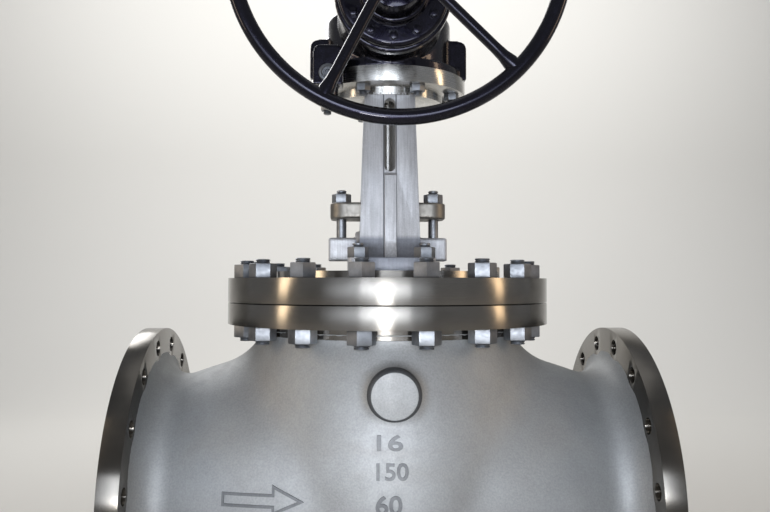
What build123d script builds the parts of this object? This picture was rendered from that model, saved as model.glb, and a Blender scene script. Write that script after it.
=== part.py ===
"""Gear operated globe valve, 16 inch class 150, with a bevel gear operator and a handwheel.

The frame has +Z up along the stem, +X along the flow and the handwheel on the -Y side. The origin is
under the stem on the plane of the feet's soles. Heights called levels are above the pipe axis.
"""

from build123d import *
from math import cos, radians, sin, sqrt
import os

os.makedirs("parts", exist_ok=True)

# Body casting
axis_height = 320.0
face_to_face = 914.0
end_flange_d = 597.0
end_flange_thickness = 36.6
raised_face_d = 470.0
raised_face_height = 2.0
bolt_circle_d = 539.8
bolt_hole_d = 28.6
outlet_hole_allowance = 0.4
bolt_count = 16
port_d = 387.4
bulge_r = 279.0
barrel_arc_r = 1065.0
hub_reach = 56.4
hub_flare = 79.0
body_wall = 18.0
casting_blend = 120.0
pot_inset = 3.0
pot_level = 20.0
neck_r = 240.0
neck_level = 284.0
throat_r = 215.0
throat_level = 262.0
body_flange_level = 310.5
body_flange_thickness = 37.5

# Partition and seat
deck_level = -10.0
deck_thickness = 30.0
partition_r = 232.0
partition_wall = 18.0
seat_bore_r = 188.0
seat_ring_wall = 18.0
seat_lip = 8.0
seat_lip_height = 18.0
seat_depth = 5.0

# Front boss and feet
boss_r = 42.5
boss_edge = 9.0
boss_level = 208.0
boss_y = 284.0
foot_spacing = 300.0
foot_width = 280.0
foot_length = 90.0
foot_plate = 24.0
foot_web = 40.0
foot_web_width = 210.0
foot_hole_d = 22.0
foot_hole_spacing = 220.0
foot_rail_width = 60.0

# Bonnet joint
gasket_thickness = 2.0
gasket_r = 248.0
bonnet_flange_d = 598.0
bonnet_flange_thickness = 43.0
stud_circle_d = 530.0
stud_d = 25.4
stud_hole_d = 28.6
stud_count = 16
nut_across_flats = 41.3
nut_height = 25.0
stud_projection = 7.0

# Bonnet casting
pad_r = 210.0
pad_height = 12.0
bonnet_cavity_r = 200.0
bonnet_roof = 26.0
tower_r = 62.0
tower_fillet = 22.0
tower_height = 77.0
lug_reach = 112.0
lug_width = 46.0
lug_height = 44.0
lug_drop = 12.0

# Stem, disc and packing
stem_r = 28.0
stem_fit = 0.05
stem_lift = 105.0
seat_gap = 0.3
disc_r = 205.0
disc_rim = 40.0
disc_hub_r = 66.0
disc_hub_height = 50.0
disc_nut_r = 52.0
disc_nut_height = 22.0
stem_top_level = 1050.0
packing_r = 42.0
packing_floor = 12.0
packing_height = 62.0
gland_gap = 0.05
thread_gap = 0.05
gland_lip_r = 52.0
gland_lip = 8.0
gland_stand = 23.0
gland_flange_length = 218.0
gland_flange_width = 92.0
gland_flange_thickness = 30.0
gland_stud_x = 88.0
gland_stud_d = 19.0
gland_nut_across_flats = 32.0
gland_nut_height = 19.0
gland_stud_depth = 25.0

# Yoke
yoke_top_level = 766.0
yoke_flange_r = 148.0
yoke_flange_thickness = 28.0
yoke_hub_r = 105.0
yoke_hub_thickness = 14.0
yoke_bore_r = 45.0
arm_top_y = 76.0
arm_foot_y = 92.0
arm_thickness = 23.0
arm_top_width = 91.0
arm_foot_width = 110.0
arm_flare = 140.0
arm_flare_level = 461.0
rib_width = 20.0
rib_depth = 24.0
rib_top_level = 582.0
rib_top_slope = 8.0
slot_bottom_level = 584.0
slot_top_level = 718.0
yoke_foot_y = 192.0
yoke_foot_inner_y = 86.0
yoke_foot_width = 150.0
yoke_foot_thickness = 22.0
yoke_foot_corner = 14.0
yoke_stud_x = 57.0
yoke_stud_y = 164.0
yoke_stud_d = 20.0
yoke_stud_hole_d = 22.0
yoke_nut_across_flats = 32.0
yoke_nut_height = 19.0
yoke_stud_depth = 20.0
top_bolt_circle_d = 254.0
top_bolt_count = 8
top_bolt_d = 16.0
top_bolt_hole_d = 17.5
top_nut_across_flats = 24.0
top_nut_height = 13.0
top_bolt_depth = 16.0

# Bevel gear operator
gear_base_r = 140.0
gear_base_height = 18.0
gear_shoulder_r = 120.0
gear_shoulder_level = 884.0
gear_shoulder_edge = 10.0
gear_lid_r = 96.0
gear_case_r = 92.0
gear_case_level = 920.0
gear_neck_r = 62.0
gear_top_level = 985.0
gear_bore_r = 41.0
side_lug_x = 117.0
side_lug_width = 60.0
side_lug_depth = 90.0
side_lug_level = 840.0
side_lug_corner = 16.0
input_level = 98.0
input_root_y = 60.0
input_root_r = 96.0
input_throat_r = 82.0
input_flange_r = 98.0
input_flange_thickness = 20.0
input_reach = 222.0
cover_r = 93.0
cover_thickness = 16.0
cover_edge = 8.0
cover_screw_circle_d = 152.0
cover_screw_count = 12
cover_screw_across_flats = 13.0
cover_screw_height = 8.0
nose_r = 58.0
nose_step = 14.0
nose_step_edge = 5.0
nose_tip_r = 46.0
nose_length = 52.0
input_shaft_r = 22.0
input_shaft_end = 424.0
input_shaft_depth = 120.0
shaft_fit = 0.05
shaft_end_gap = 1.0
plug_box_x = -109.5
plug_box_y = 124.0
plug_box_width = 52.0
plug_box_depth = 36.0
plug_box_top = 797.0
plug_box_height = 70.0
plug_box_corner = 14.0
plug_leg_r = 17.5
plug_leg_length = 25.0
plug_r = 16.0
plug_level = 746.5
plug_reach = 6.0
plug_socket_r = 7.0
plug_socket_depth = 5.0
leg_bolt_d = 12.0
leg_nut_across_flats = 19.0
leg_nut_height = 10.0
leg_bolt_projection = 4.0
leg_bolt_depth = 20.0
protector_r = 42.0
protector_wall = 4.0
protector_flange_r = 60.0
protector_flange_thickness = 10.0
protector_gap = 35.0
protector_cap = 16.0
protector_cap_lip = 4.0
protector_cap_edge = 4.0

# Handwheel
wheel_y = 394.0
wheel_r = 254.0
rim_r = 12.0
spoke_r = 8.5
spoke_count = 5
spoke_turn = 27.0
wheel_hub_r = 36.0
wheel_hub_length = 60.0
wheel_dish = 12.0
shaft_nut_r = 19.0
shaft_nut_length = 12.0

# Places worked out from the sizes above
face_x = face_to_face / 2
flange_face_x = face_x - raised_face_height
flange_back_x = face_x - end_flange_thickness
waist_x = flange_back_x - hub_reach
waist_slope = waist_x / barrel_arc_r
waist_r = bulge_r - barrel_arc_r * (1 - sqrt(1 - waist_slope**2))
hub_blend = hub_reach / (sin(radians(hub_flare)) + waist_slope)
hub_r = waist_r + hub_blend * (sqrt(1 - waist_slope**2) - cos(radians(hub_flare)))
pot_r = bonnet_flange_d / 2 - pot_inset
body_top_level = body_flange_level + body_flange_thickness
bonnet_seat_level = body_top_level + gasket_thickness
bonnet_top_level = bonnet_seat_level + bonnet_flange_thickness
pad_level = bonnet_top_level + pad_height
tower_level = pad_level + tower_height
bonnet_roof_level = bonnet_top_level - bonnet_roof
packing_level = bonnet_roof_level + packing_floor + bonnet_roof
seat_level = deck_level + seat_lip_height
disc_level = seat_level + seat_gap
disc_top_level = disc_level + disc_rim + disc_hub_height
gland_level = packing_level + packing_height
gland_flange_level = tower_level + gland_stand
lug_top_level = tower_level - lug_drop
yoke_hub_level = yoke_top_level - yoke_flange_thickness - yoke_hub_thickness
yoke_foot_level = pad_level + yoke_foot_thickness
gear_base_level = yoke_top_level + gear_base_height
plug_box_bottom = plug_box_top - plug_box_height
protector_length = stem_top_level + stem_lift + protector_gap - gear_top_level
wheel_level = yoke_top_level + input_level
cover_face_y = -input_reach - cover_thickness

axis_plane = Plane(origin=(0, 0, axis_height), x_dir=(1, 0, 0), z_dir=(0, -1, 0))
side_plane = Plane(origin=(0, 0, axis_height), x_dir=(0, 1, 0), z_dir=(1, 0, 0))
pipe_axis = Axis((0, 0, axis_height), (1, 0, 0))
stem_axis = Axis.Z
input_axis = Axis((0, 0, axis_height + wheel_level), (0, 1, 0))
wheel_plane = Plane(origin=(0, 0, axis_height + wheel_level), x_dir=(1, 0, 0), z_dir=(0, -1, 0))


def level(above_axis):
    """A horizontal plane at a level above the pipe axis."""
    return Plane.XY.offset(axis_height + above_axis)


def toward_wheel(distance):
    """A plane across the input shaft, a distance from the stem on the handwheel's side."""
    return wheel_plane.offset(distance)


def save(piece, name):
    """Label a finished piece and write it as its own file."""
    piece.part.label = name
    export_step(piece.part, f"parts/{name}.step")


def hexagon_r(across_flats):
    """The corner radius of a hexagon."""
    return across_flats / sqrt(3)


# Body casting, with end flanges, seat deck, bonnet flange and feet
with BuildPart() as cavity:
    with BuildSketch(axis_plane):
        with BuildLine():
            crown = ThreePointArc(
                (-waist_x, waist_r - body_wall), (0, bulge_r - body_wall), (waist_x, waist_r - body_wall)
            )
            Polyline(crown @ 1, (flange_back_x, port_d / 2), (face_x, port_d / 2), (face_x, 0))
            Polyline(crown @ 0, (-flange_back_x, port_d / 2), (-face_x, port_d / 2), (-face_x, 0))
            Line((-face_x, 0), (face_x, 0))
        make_face()
    revolve(axis=pipe_axis)
    with BuildSketch(axis_plane):
        with BuildLine():
            bowl = RadiusArc((0, pot_level - pot_r + body_wall), (pot_r - body_wall, pot_level),
                             -(pot_r - body_wall))
            flank = TangentArc(bowl @ 1, (throat_r, throat_level), tangent=(0, 1))
            Polyline(flank @ 1, (throat_r, body_top_level), (0, body_top_level), bowl @ 0)
        make_face()
    revolve(axis=stem_axis)
    with BuildSketch(level(deck_level)):
        Circle(bulge_r)
        Circle(seat_bore_r + seat_ring_wall, mode=Mode.SUBTRACT)
    extrude(amount=-deck_thickness, mode=Mode.SUBTRACT)
    for side, start, height in ((-1, deck_level, bulge_r), (1, deck_level - deck_thickness, -bulge_r)):
        with BuildSketch(level(start)):
            Circle(partition_r + partition_wall)
            with Locations((side * partition_wall / 2, 0)):
                Rectangle(partition_wall, 2 * bulge_r)
            Circle(partition_r, mode=Mode.SUBTRACT)
            with Locations((-side * bulge_r / 2, 0)):
                Rectangle(bulge_r, 2 * bulge_r, mode=Mode.SUBTRACT)
        extrude(amount=height, mode=Mode.SUBTRACT)

with BuildPart() as body:
    with BuildSketch(axis_plane):
        with BuildLine():
            crown = ThreePointArc((-waist_x, waist_r), (0, bulge_r), (waist_x, waist_r))
            right = TangentArc(crown @ 1, (flange_back_x, hub_r), tangent=crown % 1)
            left = TangentArc(crown @ 0, (-flange_back_x, hub_r), tangent=(crown % 0) * -1)
            Polyline(right @ 1, (flange_back_x, 0), (-flange_back_x, 0), left @ 1)
        make_face()
    revolve(axis=pipe_axis)
    with BuildSketch(axis_plane):
        with BuildLine():
            bowl = RadiusArc((0, pot_level - pot_r), (pot_r, pot_level), -pot_r)
            flank = TangentArc(bowl @ 1, (neck_r, neck_level), tangent=(0, 1))
            Polyline(flank @ 1, (neck_r, body_flange_level), (0, body_flange_level), bowl @ 0)
        make_face()
    revolve(axis=stem_axis)
    fillet(body.edges().filter_by(GeomType.BSPLINE), radius=casting_blend)
    with BuildSketch(level(body_flange_level)):
        Circle(bonnet_flange_d / 2)
    extrude(amount=body_flange_thickness)
    for side in (-1, 1):
        end_plane = Plane(origin=(side * flange_back_x, 0, axis_height), z_dir=(side, 0, 0))
        with BuildSketch(end_plane):
            Circle(end_flange_d / 2)
        extrude(amount=flange_face_x - flange_back_x)
        with BuildSketch(end_plane.offset(flange_face_x - flange_back_x)):
            Circle(raised_face_d / 2)
        extrude(amount=raised_face_height)
    with BuildSketch(level(boss_level)):
        with BuildLine():
            Polyline((0, -boss_y), (0, 0), (boss_r, 0), (boss_r, boss_edge - boss_y))
            RadiusArc((boss_r, boss_edge - boss_y), (boss_r - boss_edge, -boss_y), boss_edge)
            Line((boss_r - boss_edge, -boss_y), (0, -boss_y))
        make_face()
    revolve(axis=Axis((0, 0, axis_height + boss_level), (0, 1, 0)))
    for side in (-1, 1):
        foot_x = side * foot_spacing / 2
        with BuildSketch(Plane.XY):
            with Locations((foot_x, 0)):
                RectangleRounded(foot_length, foot_width, foot_length / 5)
        extrude(amount=foot_plate)
        with BuildSketch(Plane.XY.offset(foot_plate)):
            with Locations((foot_x, 0)):
                Rectangle(foot_web, foot_web_width)
        extrude(amount=axis_height / 3)
    with BuildSketch(Plane.XY):
        Rectangle(foot_spacing, foot_rail_width)
    extrude(amount=axis_height / 3)
    add(cavity.part, mode=Mode.SUBTRACT)
    with BuildSketch(level(deck_level)):
        Circle(seat_bore_r + seat_ring_wall)
    extrude(amount=-deck_thickness, mode=Mode.SUBTRACT)
    for side, allowance in ((-1, 0), (1, outlet_hole_allowance)):
        bolt_plane = Plane(origin=(side * face_x, 0, axis_height), z_dir=(side, 0, 0))
        with BuildSketch(bolt_plane):
            with PolarLocations(bolt_circle_d / 2, bolt_count, start_angle=180 / bolt_count):
                Circle((bolt_hole_d + allowance) / 2)
        extrude(amount=-end_flange_thickness, mode=Mode.SUBTRACT)
        with BuildSketch(Plane.XY):
            with Locations((side * foot_spacing / 2, 0)):
                with GridLocations(0, foot_hole_spacing, 1, 2):
                    Circle(foot_hole_d / 2)
        extrude(amount=foot_plate, mode=Mode.SUBTRACT)
    with BuildSketch(level(body_top_level)):
        with PolarLocations(stud_circle_d / 2, stud_count, start_angle=180 / stud_count):
            Circle(stud_hole_d / 2)
    extrude(amount=-body_flange_thickness, mode=Mode.SUBTRACT)
save(body, "body")

# Seat ring in the deck
with BuildPart() as seat_ring:
    with BuildSketch(axis_plane):
        with BuildLine():
            Polyline(
                (seat_bore_r, seat_level),
                (seat_bore_r + seat_ring_wall + seat_lip, seat_level),
                (seat_bore_r + seat_ring_wall + seat_lip, deck_level),
                (seat_bore_r + seat_ring_wall, deck_level),
                (seat_bore_r + seat_ring_wall, deck_level - deck_thickness - seat_depth),
                (seat_bore_r, deck_level - deck_thickness - seat_depth),
                close=True,
            )
        make_face()
    revolve(axis=stem_axis)
save(seat_ring, "seat_ring")

# Bonnet gasket
with BuildPart() as bonnet_gasket:
    with BuildSketch(level(body_top_level)):
        Circle(gasket_r)
        Circle(throat_r, mode=Mode.SUBTRACT)
    extrude(amount=gasket_thickness)
save(bonnet_gasket, "bonnet_gasket")

# Bonnet with its stuffing box and gland lugs
with BuildPart() as bonnet:
    with BuildSketch(axis_plane):
        with BuildLine():
            Polyline(
                (stem_r + gland_gap, bonnet_roof_level),
                (bonnet_cavity_r, bonnet_seat_level),
                (bonnet_flange_d / 2, bonnet_seat_level),
                (bonnet_flange_d / 2, bonnet_top_level),
                (pad_r, bonnet_top_level),
                (pad_r, pad_level),
                (tower_r + tower_fillet, pad_level),
            )
            shoulder = RadiusArc(
                (tower_r + tower_fillet, pad_level), (tower_r, pad_level + tower_fillet), tower_fillet
            )
            Polyline(
                shoulder @ 1,
                (tower_r, tower_level),
                (packing_r, tower_level),
                (packing_r, packing_level),
                (stem_r + gland_gap, packing_level),
                (stem_r + gland_gap, bonnet_roof_level),
            )
        make_face()
    revolve(axis=stem_axis)
    for side in (-1, 1):
        with BuildSketch(level(lug_top_level)):
            with Locations((side * (packing_r + lug_reach) / 2 + side * (tower_r - packing_r) / 4, 0)):
                Rectangle(lug_reach - packing_r - (tower_r - packing_r) / 2, lug_width)
        extrude(amount=-lug_height)
    with BuildSketch(level(lug_top_level)):
        with GridLocations(2 * gland_stud_x, 0, 2, 1):
            Circle(gland_stud_d / 2 + thread_gap)
    extrude(amount=-gland_stud_depth, mode=Mode.SUBTRACT)
    with BuildSketch(level(bonnet_top_level)):
        with PolarLocations(stud_circle_d / 2, stud_count, start_angle=180 / stud_count):
            Circle(stud_hole_d / 2)
    extrude(amount=-bonnet_flange_thickness, mode=Mode.SUBTRACT)
    with BuildSketch(level(pad_level)):
        with GridLocations(2 * yoke_stud_x, 2 * yoke_stud_y, 2, 2):
            Circle(yoke_stud_d / 2 + thread_gap)
    extrude(amount=-yoke_stud_depth, mode=Mode.SUBTRACT)
save(bonnet, "bonnet")

# Bonnet studs, each with its two heavy hexagon nuts
with BuildPart() as bonnet_studs:
    with BuildSketch(level(body_flange_level - nut_height - stud_projection)):
        with PolarLocations(stud_circle_d / 2, stud_count, start_angle=180 / stud_count):
            Circle(stud_d / 2)
    extrude(amount=bonnet_top_level - body_flange_level + 2 * (nut_height + stud_projection))
    for start, height in ((body_flange_level, -nut_height), (bonnet_top_level, nut_height)):
        with BuildSketch(level(start)):
            with PolarLocations(stud_circle_d / 2, stud_count, start_angle=180 / stud_count):
                RegularPolygon(hexagon_r(nut_across_flats), 6, rotation=30)
        extrude(amount=height)
save(bonnet_studs, "bonnet_studs")

# Disc, stem and disc nut
with BuildPart() as disc:
    with BuildSketch(axis_plane):
        with BuildLine():
            Polyline(
                (0, disc_level),
                (disc_r, disc_level),
                (disc_r, disc_level + disc_rim / 2),
                (disc_r - disc_rim / 2, disc_level + disc_rim),
                (disc_hub_r, disc_level + disc_rim),
                (disc_hub_r, disc_top_level),
                (stem_r, disc_top_level),
                (stem_r, disc_level + disc_rim),
                (0, disc_level + disc_rim),
                close=True,
            )
        make_face()
    revolve(axis=stem_axis)
save(disc, "disc")

with BuildPart() as stem:
    with BuildSketch(level(disc_level + disc_rim)):
        Circle(stem_r)
    extrude(amount=stem_top_level - disc_level - disc_rim)
save(stem, "stem")

with BuildPart() as disc_nut:
    with BuildSketch(level(disc_top_level)):
        RegularPolygon(disc_nut_r, 8)
        Circle(stem_r, mode=Mode.SUBTRACT)
    extrude(amount=disc_nut_height)
save(disc_nut, "disc_nut")

# Packing, gland and its studs
with BuildPart() as packing:
    with BuildSketch(level(packing_level)):
        Circle(packing_r)
        Circle(stem_r + stem_fit, mode=Mode.SUBTRACT)
    extrude(amount=packing_height)
save(packing, "packing")

with BuildPart() as gland_follower:
    with BuildSketch(axis_plane):
        with BuildLine():
            Polyline(
                (stem_r + gland_gap, gland_level),
                (packing_r - gland_gap, gland_level),
                (packing_r - gland_gap, gland_flange_level - gland_lip),
                (gland_lip_r, gland_flange_level - gland_lip),
                (gland_lip_r, gland_flange_level),
                (stem_r + gland_gap, gland_flange_level),
                close=True,
            )
        make_face()
    revolve(axis=stem_axis)
save(gland_follower, "gland_follower")

with BuildPart() as gland_flange:
    with BuildSketch(level(gland_flange_level)):
        RectangleRounded(gland_flange_length, gland_flange_width, gland_flange_width / 3)
        Circle(gland_lip_r - gland_lip, mode=Mode.SUBTRACT)
        with GridLocations(2 * gland_stud_x, 0, 2, 1):
            Circle(gland_stud_d / 2 + gland_gap, mode=Mode.SUBTRACT)
    extrude(amount=gland_flange_thickness)
save(gland_flange, "gland_flange")

with BuildPart() as gland_studs:
    with BuildSketch(level(lug_top_level - gland_stud_depth)):
        with GridLocations(2 * gland_stud_x, 0, 2, 1):
            Circle(gland_stud_d / 2)
    extrude(
        amount=gland_flange_level + gland_flange_thickness + gland_nut_height + stud_projection
        - lug_top_level + gland_stud_depth
    )
    with BuildSketch(level(gland_flange_level + gland_flange_thickness)):
        with GridLocations(2 * gland_stud_x, 0, 2, 1):
            RegularPolygon(hexagon_r(gland_nut_across_flats), 6)
    extrude(amount=gland_nut_height)
save(gland_studs, "gland_studs")

# Yoke with two ribbed arms
arm_lean = Vector(arm_foot_y - arm_top_y, yoke_foot_level - yoke_hub_level).normalized()
arm_drop = (yoke_hub_level - arm_flare_level) / -arm_lean.Y
arm_outer_top = Vector(arm_top_y + arm_thickness, yoke_hub_level)
arm_bend = arm_outer_top + arm_lean * arm_drop
rib_top = arm_outer_top + arm_lean * (yoke_hub_level - rib_top_level) / -arm_lean.Y
rib_bend = arm_bend + Vector(rib_depth, 0)

with BuildPart() as yoke:
    with BuildSketch(side_plane):
        with BuildLine():
            outer = Line(arm_outer_top, arm_bend)
            flare = TangentArc(arm_bend, (arm_flare, yoke_foot_level), tangent=arm_lean)
            Polyline(flare @ 1, (arm_foot_y, yoke_foot_level), (arm_top_y, yoke_hub_level), outer @ 0)
        make_face()
    extrude(amount=arm_foot_width, both=True)
    with BuildSketch(axis_plane):
        with BuildLine():
            Polyline(
                (-arm_foot_width / 2, yoke_foot_level),
                (arm_foot_width / 2, yoke_foot_level),
                (arm_top_width / 2, yoke_hub_level),
                (-arm_top_width / 2, yoke_hub_level),
                close=True,
            )
        make_face()
    extrude(amount=yoke_foot_y, both=True, mode=Mode.INTERSECT)
    with BuildSketch(side_plane):
        with BuildLine():
            Polyline(rib_top, rib_top + Vector(rib_depth, -rib_top_slope), rib_bend)
            flare = TangentArc(rib_bend, (arm_flare + rib_depth, yoke_foot_level), tangent=arm_lean)
            Polyline(flare @ 1, (arm_foot_y, yoke_foot_level), rib_top)
        make_face()
    extrude(amount=rib_width / 2, both=True)
    with BuildSketch(level(pad_level)):
        with Locations((0, (yoke_foot_y + yoke_foot_inner_y) / 2)):
            RectangleRounded(yoke_foot_width, yoke_foot_y - yoke_foot_inner_y, yoke_foot_corner)
    extrude(amount=yoke_foot_thickness)
    mirror(about=Plane.XZ)
    with BuildSketch(level(yoke_hub_level)):
        Circle(yoke_hub_r)
    extrude(amount=yoke_hub_thickness)
    with BuildSketch(level(yoke_top_level)):
        Circle(yoke_flange_r)
    extrude(amount=-yoke_flange_thickness)
    with BuildSketch(level(yoke_top_level)):
        Circle(yoke_bore_r)
        with PolarLocations(top_bolt_circle_d / 2, top_bolt_count, start_angle=180 / top_bolt_count):
            Circle(top_bolt_hole_d / 2)
    extrude(amount=-yoke_flange_thickness - yoke_hub_thickness, mode=Mode.SUBTRACT)
    with BuildSketch(axis_plane):
        with Locations((0, (slot_bottom_level + slot_top_level) / 2)):
            SlotOverall(slot_top_level - slot_bottom_level, rib_width, rotation=90)
    extrude(amount=yoke_foot_y, both=True, mode=Mode.SUBTRACT)
    with BuildSketch(level(pad_level)):
        with GridLocations(2 * yoke_stud_x, 2 * yoke_stud_y, 2, 2):
            Circle(yoke_stud_hole_d / 2)
    extrude(amount=yoke_foot_thickness, mode=Mode.SUBTRACT)
save(yoke, "yoke")

with BuildPart() as yoke_studs:
    with BuildSketch(level(pad_level - yoke_stud_depth)):
        with GridLocations(2 * yoke_stud_x, 2 * yoke_stud_y, 2, 2):
            Circle(yoke_stud_d / 2)
    extrude(amount=yoke_stud_depth + yoke_foot_thickness + yoke_nut_height + stud_projection)
    with BuildSketch(level(yoke_foot_level)):
        with GridLocations(2 * yoke_stud_x, 2 * yoke_stud_y, 2, 2):
            RegularPolygon(hexagon_r(yoke_nut_across_flats), 6)
    extrude(amount=yoke_nut_height)
save(yoke_studs, "yoke_studs")

# Bolts that hold the gear operator on the yoke
with BuildPart() as gear_bolts:
    with BuildSketch(level(yoke_top_level + top_bolt_depth)):
        with PolarLocations(top_bolt_circle_d / 2, top_bolt_count, start_angle=180 / top_bolt_count):
            Circle(top_bolt_d / 2)
    extrude(amount=-top_bolt_depth - yoke_flange_thickness - top_nut_height - stud_projection)
    with BuildSketch(level(yoke_top_level - yoke_flange_thickness)):
        with PolarLocations(top_bolt_circle_d / 2, top_bolt_count, start_angle=180 / top_bolt_count):
            RegularPolygon(hexagon_r(top_nut_across_flats), 6, rotation=30)
    extrude(amount=-top_nut_height)
save(gear_bolts, "gear_bolts")

# Base of the gear operator, with the feet of its side lugs and the arm of the plug box
with BuildPart() as gear_base:
    with BuildSketch(level(yoke_top_level)):
        Circle(gear_base_r)
    extrude(amount=gear_base_height)
    with BuildSketch(level(yoke_top_level)):
        with GridLocations(2 * side_lug_x, 0, 2, 1):
            Rectangle(side_lug_width, side_lug_depth)
        with Locations((plug_box_x, -(plug_box_y + plug_box_depth) / 2)):
            Rectangle(plug_box_width, plug_box_y + plug_box_depth)
    extrude(amount=gear_base_height)
    with BuildSketch(axis_plane.offset(plug_box_y)):
        with Locations((plug_box_x, (plug_box_top + plug_box_bottom) / 2)):
            RectangleRounded(plug_box_width, plug_box_top - plug_box_bottom, plug_box_corner)
    extrude(amount=plug_box_depth)
    with BuildSketch(level(plug_box_bottom + plug_box_corner)):
        with Locations((plug_box_x, -plug_box_y - plug_box_depth / 2)):
            Circle(plug_leg_r)
    extrude(amount=-plug_leg_length - plug_box_corner)
    with BuildSketch(level(yoke_top_level)):
        Circle(gear_bore_r)
        with PolarLocations(top_bolt_circle_d / 2, top_bolt_count, start_angle=180 / top_bolt_count):
            Circle(top_bolt_d / 2 + thread_gap)
    extrude(amount=gear_base_height, mode=Mode.SUBTRACT)
    with BuildSketch(level(plug_box_bottom - plug_leg_length)):
        with Locations((plug_box_x, -plug_box_y - plug_box_depth / 2)):
            Circle(leg_bolt_d / 2 + thread_gap)
    extrude(amount=leg_bolt_depth, mode=Mode.SUBTRACT)
save(gear_base, "gear_base")

with BuildPart() as side_plug:
    with BuildSketch(axis_plane.offset(plug_box_y + plug_box_depth)):
        with Locations((plug_box_x, plug_level)):
            Circle(plug_r)
    extrude(amount=plug_reach)
    with BuildSketch(axis_plane.offset(plug_box_y + plug_box_depth + plug_reach)):
        with Locations((plug_box_x, plug_level)):
            RegularPolygon(plug_socket_r, 6)
    extrude(amount=-plug_socket_depth, mode=Mode.SUBTRACT)
save(side_plug, "side_plug")

with BuildPart() as leg_bolt:
    with BuildSketch(level(plug_box_bottom - plug_leg_length + leg_bolt_depth)):
        with Locations((plug_box_x, -plug_box_y - plug_box_depth / 2)):
            Circle(leg_bolt_d / 2)
    extrude(amount=-leg_bolt_depth - leg_nut_height - leg_bolt_projection)
    with BuildSketch(level(plug_box_bottom - plug_leg_length)):
        with Locations((plug_box_x, -plug_box_y - plug_box_depth / 2)):
            RegularPolygon(hexagon_r(leg_nut_across_flats), 6)
    extrude(amount=-leg_nut_height)
save(leg_bolt, "leg_bolt")

# Bevel gear case, turned round the stem, with the horn that carries the input shaft
with BuildPart() as gear_case:
    with BuildSketch(axis_plane):
        with BuildLine():
            side = Polyline(
                (gear_bore_r, gear_top_level),
                (gear_bore_r, gear_base_level),
                (gear_shoulder_r, gear_base_level),
                (gear_shoulder_r, gear_shoulder_level - gear_shoulder_edge),
            )
            shoulder = RadiusArc(
                side @ 1, (gear_shoulder_r - gear_shoulder_edge, gear_shoulder_level), -gear_shoulder_edge
            )
            lid = Line(shoulder @ 1, (gear_lid_r, gear_shoulder_level))
            slope = Line(lid @ 1, (gear_case_r, gear_case_level))
            dome = TangentArc(slope @ 1, (gear_neck_r, gear_top_level), tangent=slope % 1)
            Line(dome @ 1, (gear_bore_r, gear_top_level))
        make_face()
    revolve(axis=stem_axis)
    with BuildSketch(level(wheel_level)):
        with BuildLine():
            Polyline(
                (0, -input_root_y),
                (input_root_r, -input_root_y),
                (input_throat_r, input_flange_thickness - input_reach),
                (input_flange_r, input_flange_thickness - input_reach),
                (input_flange_r, -input_reach),
                (0, -input_reach),
                close=True,
            )
        make_face()
    revolve(axis=input_axis)
    with BuildSketch(axis_plane):
        with GridLocations(2 * side_lug_x, 0, 2, 1):
            RectangleRounded(side_lug_width, 2 * side_lug_level, side_lug_corner)
    extrude(amount=side_lug_depth / 2, both=True)
    with BuildSketch(level(gear_base_level)):
        Circle(gear_bore_r)
    extrude(amount=gear_top_level - gear_base_level, mode=Mode.SUBTRACT)
    split(bisect_by=level(gear_base_level), keep=Keep.TOP)
    with BuildSketch(toward_wheel(input_reach)):
        Circle(input_shaft_r + shaft_fit)
    extrude(amount=-(input_reach - input_shaft_depth + shaft_end_gap), mode=Mode.SUBTRACT)
save(gear_case, "gear_case")

# Input cover and its screws
with BuildPart() as input_cover:
    with BuildSketch(level(wheel_level)):
        with BuildLine():
            back = Polyline(
                (input_shaft_r + shaft_fit, -input_reach),
                (cover_r, -input_reach),
                (cover_r, cover_edge - cover_thickness - input_reach),
            )
            rim = RadiusArc(back @ 1, (cover_r - cover_edge, cover_face_y), cover_edge)
            face = Polyline(rim @ 1, (nose_r, cover_face_y), (nose_r, cover_face_y + nose_step_edge - nose_step))
            step = RadiusArc(face @ 1, (nose_r - nose_step_edge, cover_face_y - nose_step), nose_step_edge)
            Polyline(
                step @ 1,
                (nose_tip_r, cover_face_y - nose_length),
                (input_shaft_r + shaft_fit, cover_face_y - nose_length),
                back @ 0,
            )
        make_face()
    revolve(axis=input_axis)
save(input_cover, "input_cover")

with BuildPart() as cover_screws:
    with BuildSketch(toward_wheel(input_reach + cover_thickness)):
        with PolarLocations(cover_screw_circle_d / 2, cover_screw_count):
            RegularPolygon(hexagon_r(cover_screw_across_flats), 6)
    extrude(amount=cover_screw_height)
save(cover_screws, "cover_screws")

# Input shaft and handwheel
with BuildPart() as input_shaft:
    with BuildSketch(toward_wheel(input_shaft_depth)):
        Circle(input_shaft_r)
    extrude(amount=input_shaft_end - input_shaft_depth)
save(input_shaft, "input_shaft")

with BuildPart() as handwheel:
    rim_circle_r = wheel_r - rim_r
    with BuildSketch(Plane(origin=(0, -wheel_y, axis_height + wheel_level), x_dir=(1, 0, 0), z_dir=(0, 0, 1))):
        with Locations((rim_circle_r, 0)):
            Circle(rim_r)
    revolve(axis=input_axis)
    with BuildSketch(toward_wheel(wheel_y - wheel_dish - wheel_hub_length / 2)):
        Circle(wheel_hub_r)
    extrude(amount=wheel_hub_length)
    for number in range(spoke_count):
        turn = radians(spoke_turn + number * 360 / spoke_count)
        outward = Vector(-sin(turn), 0, -cos(turn))
        start = Vector(0, wheel_dish - wheel_y, axis_height + wheel_level)
        end = Vector(0, -wheel_y, axis_height + wheel_level) + outward * rim_circle_r
        with BuildSketch(Plane(origin=start, z_dir=end - start)):
            Circle(spoke_r)
        extrude(amount=(end - start).length)
    with BuildSketch(toward_wheel(0)):
        Circle(input_shaft_r)
    extrude(amount=wheel_y + wheel_r, mode=Mode.SUBTRACT)
save(handwheel, "handwheel")

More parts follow.
